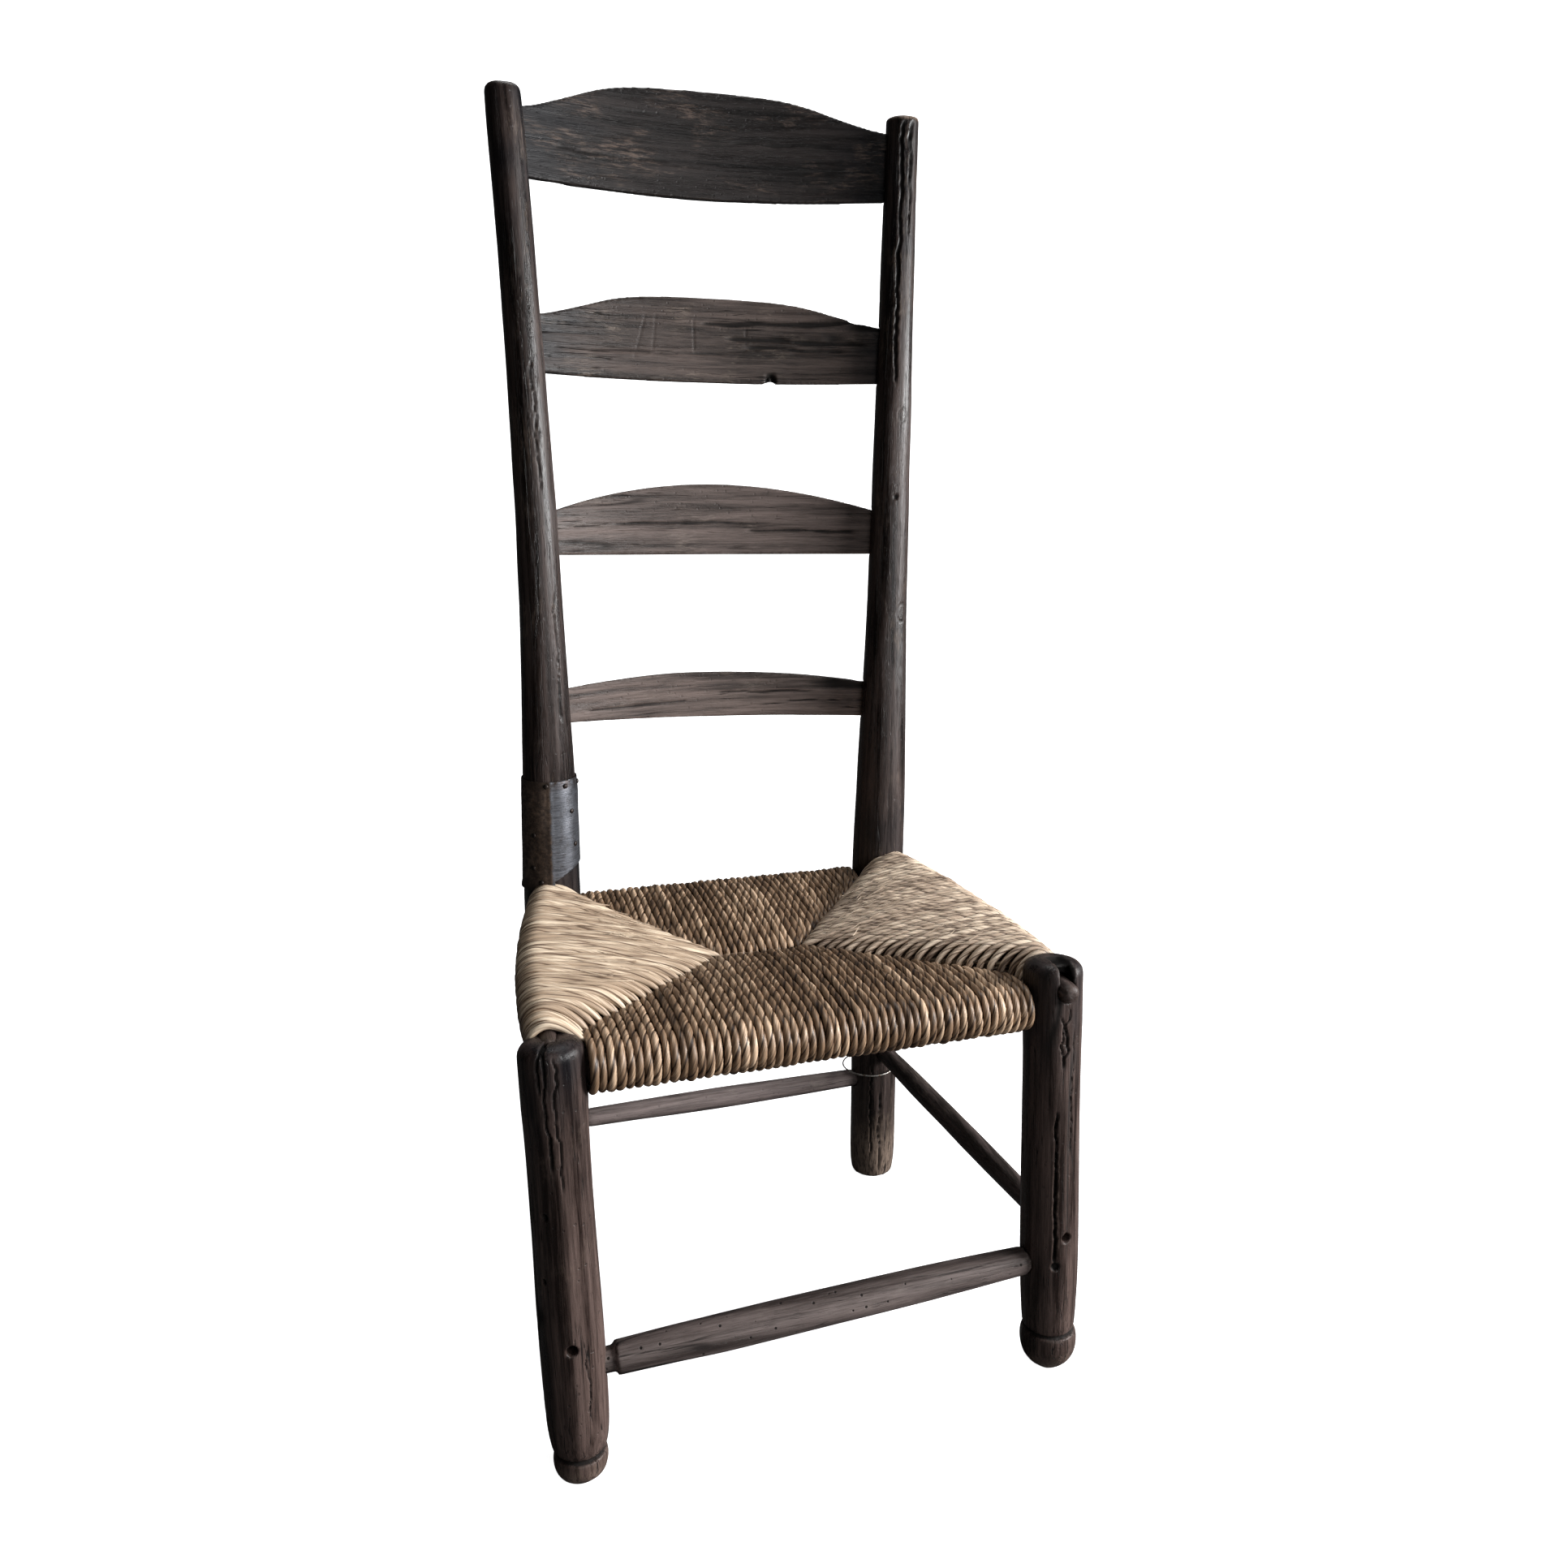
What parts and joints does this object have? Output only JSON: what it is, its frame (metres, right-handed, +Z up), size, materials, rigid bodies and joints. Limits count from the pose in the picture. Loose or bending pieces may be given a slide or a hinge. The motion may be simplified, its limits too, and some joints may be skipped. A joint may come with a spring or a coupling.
{
  "type": "ladderback chair",
  "caption": "Low turned ladderback side chair with four bowed back slats, two turned front legs and a woven rush seat over round rails, old and mended.",
  "frame": {"origin": "On the floor under the middle of the chair's overall box, at the feet.", "axes": "+Z up along the back posts, +Y from the seat's front to its back, +X to the sitter's left (the right-hand side as seen from the front)."},
  "size_m": [0.4472, 0.4416, 1.052],
  "materials": {
    "dark_wood": "near-black old finish on turned and shaved hardwood, streaked along the grain, rubbed and cracked",
    "weathered_wood": "grey-brown weathered hardwood with fine cracks, darker at the ends",
    "rush": "twisted rush cord, olive-brown to straw, worn to a dull gloss over the front rail",
    "pale_rush": "paler straw-coloured rush cord at the two sides",
    "straw": "loose broken straw packed between the top and bottom cords",
    "sheet_iron": "dull grey sheet iron with brown rust",
    "iron": "dark worn iron tacks and wire"
  },
  "bodies": {
    "root": {"front_leg_left": "dark_wood", "front_leg_right": "dark_wood", "rear_post_left": "dark_wood", "rear_post_right": "dark_wood", "slat_top": "dark_wood", "slat_upper_middle": "weathered_wood", "slat_lower_middle": "weathered_wood", "slat_lowest": "weathered_wood", "seat_rail_front": "dark_wood", "seat_rail_rear": "dark_wood", "seat_rail_left": "dark_wood", "seat_rail_right": "dark_wood", "stretcher_front": "weathered_wood", "stretcher_rear": "dark_wood", "stretcher_left": "dark_wood", "stretcher_right": "dark_wood", "seat_cords_front": "rush", "seat_cords_rear": "rush", "seat_cords_left": "pale_rush", "seat_cords_right": "pale_rush", "seat_stuffing": "straw", "repair_sleeve": "sheet_iron", "repair_tacks": "iron", "wire_tie": "iron"}
  },
  "joints": []
}
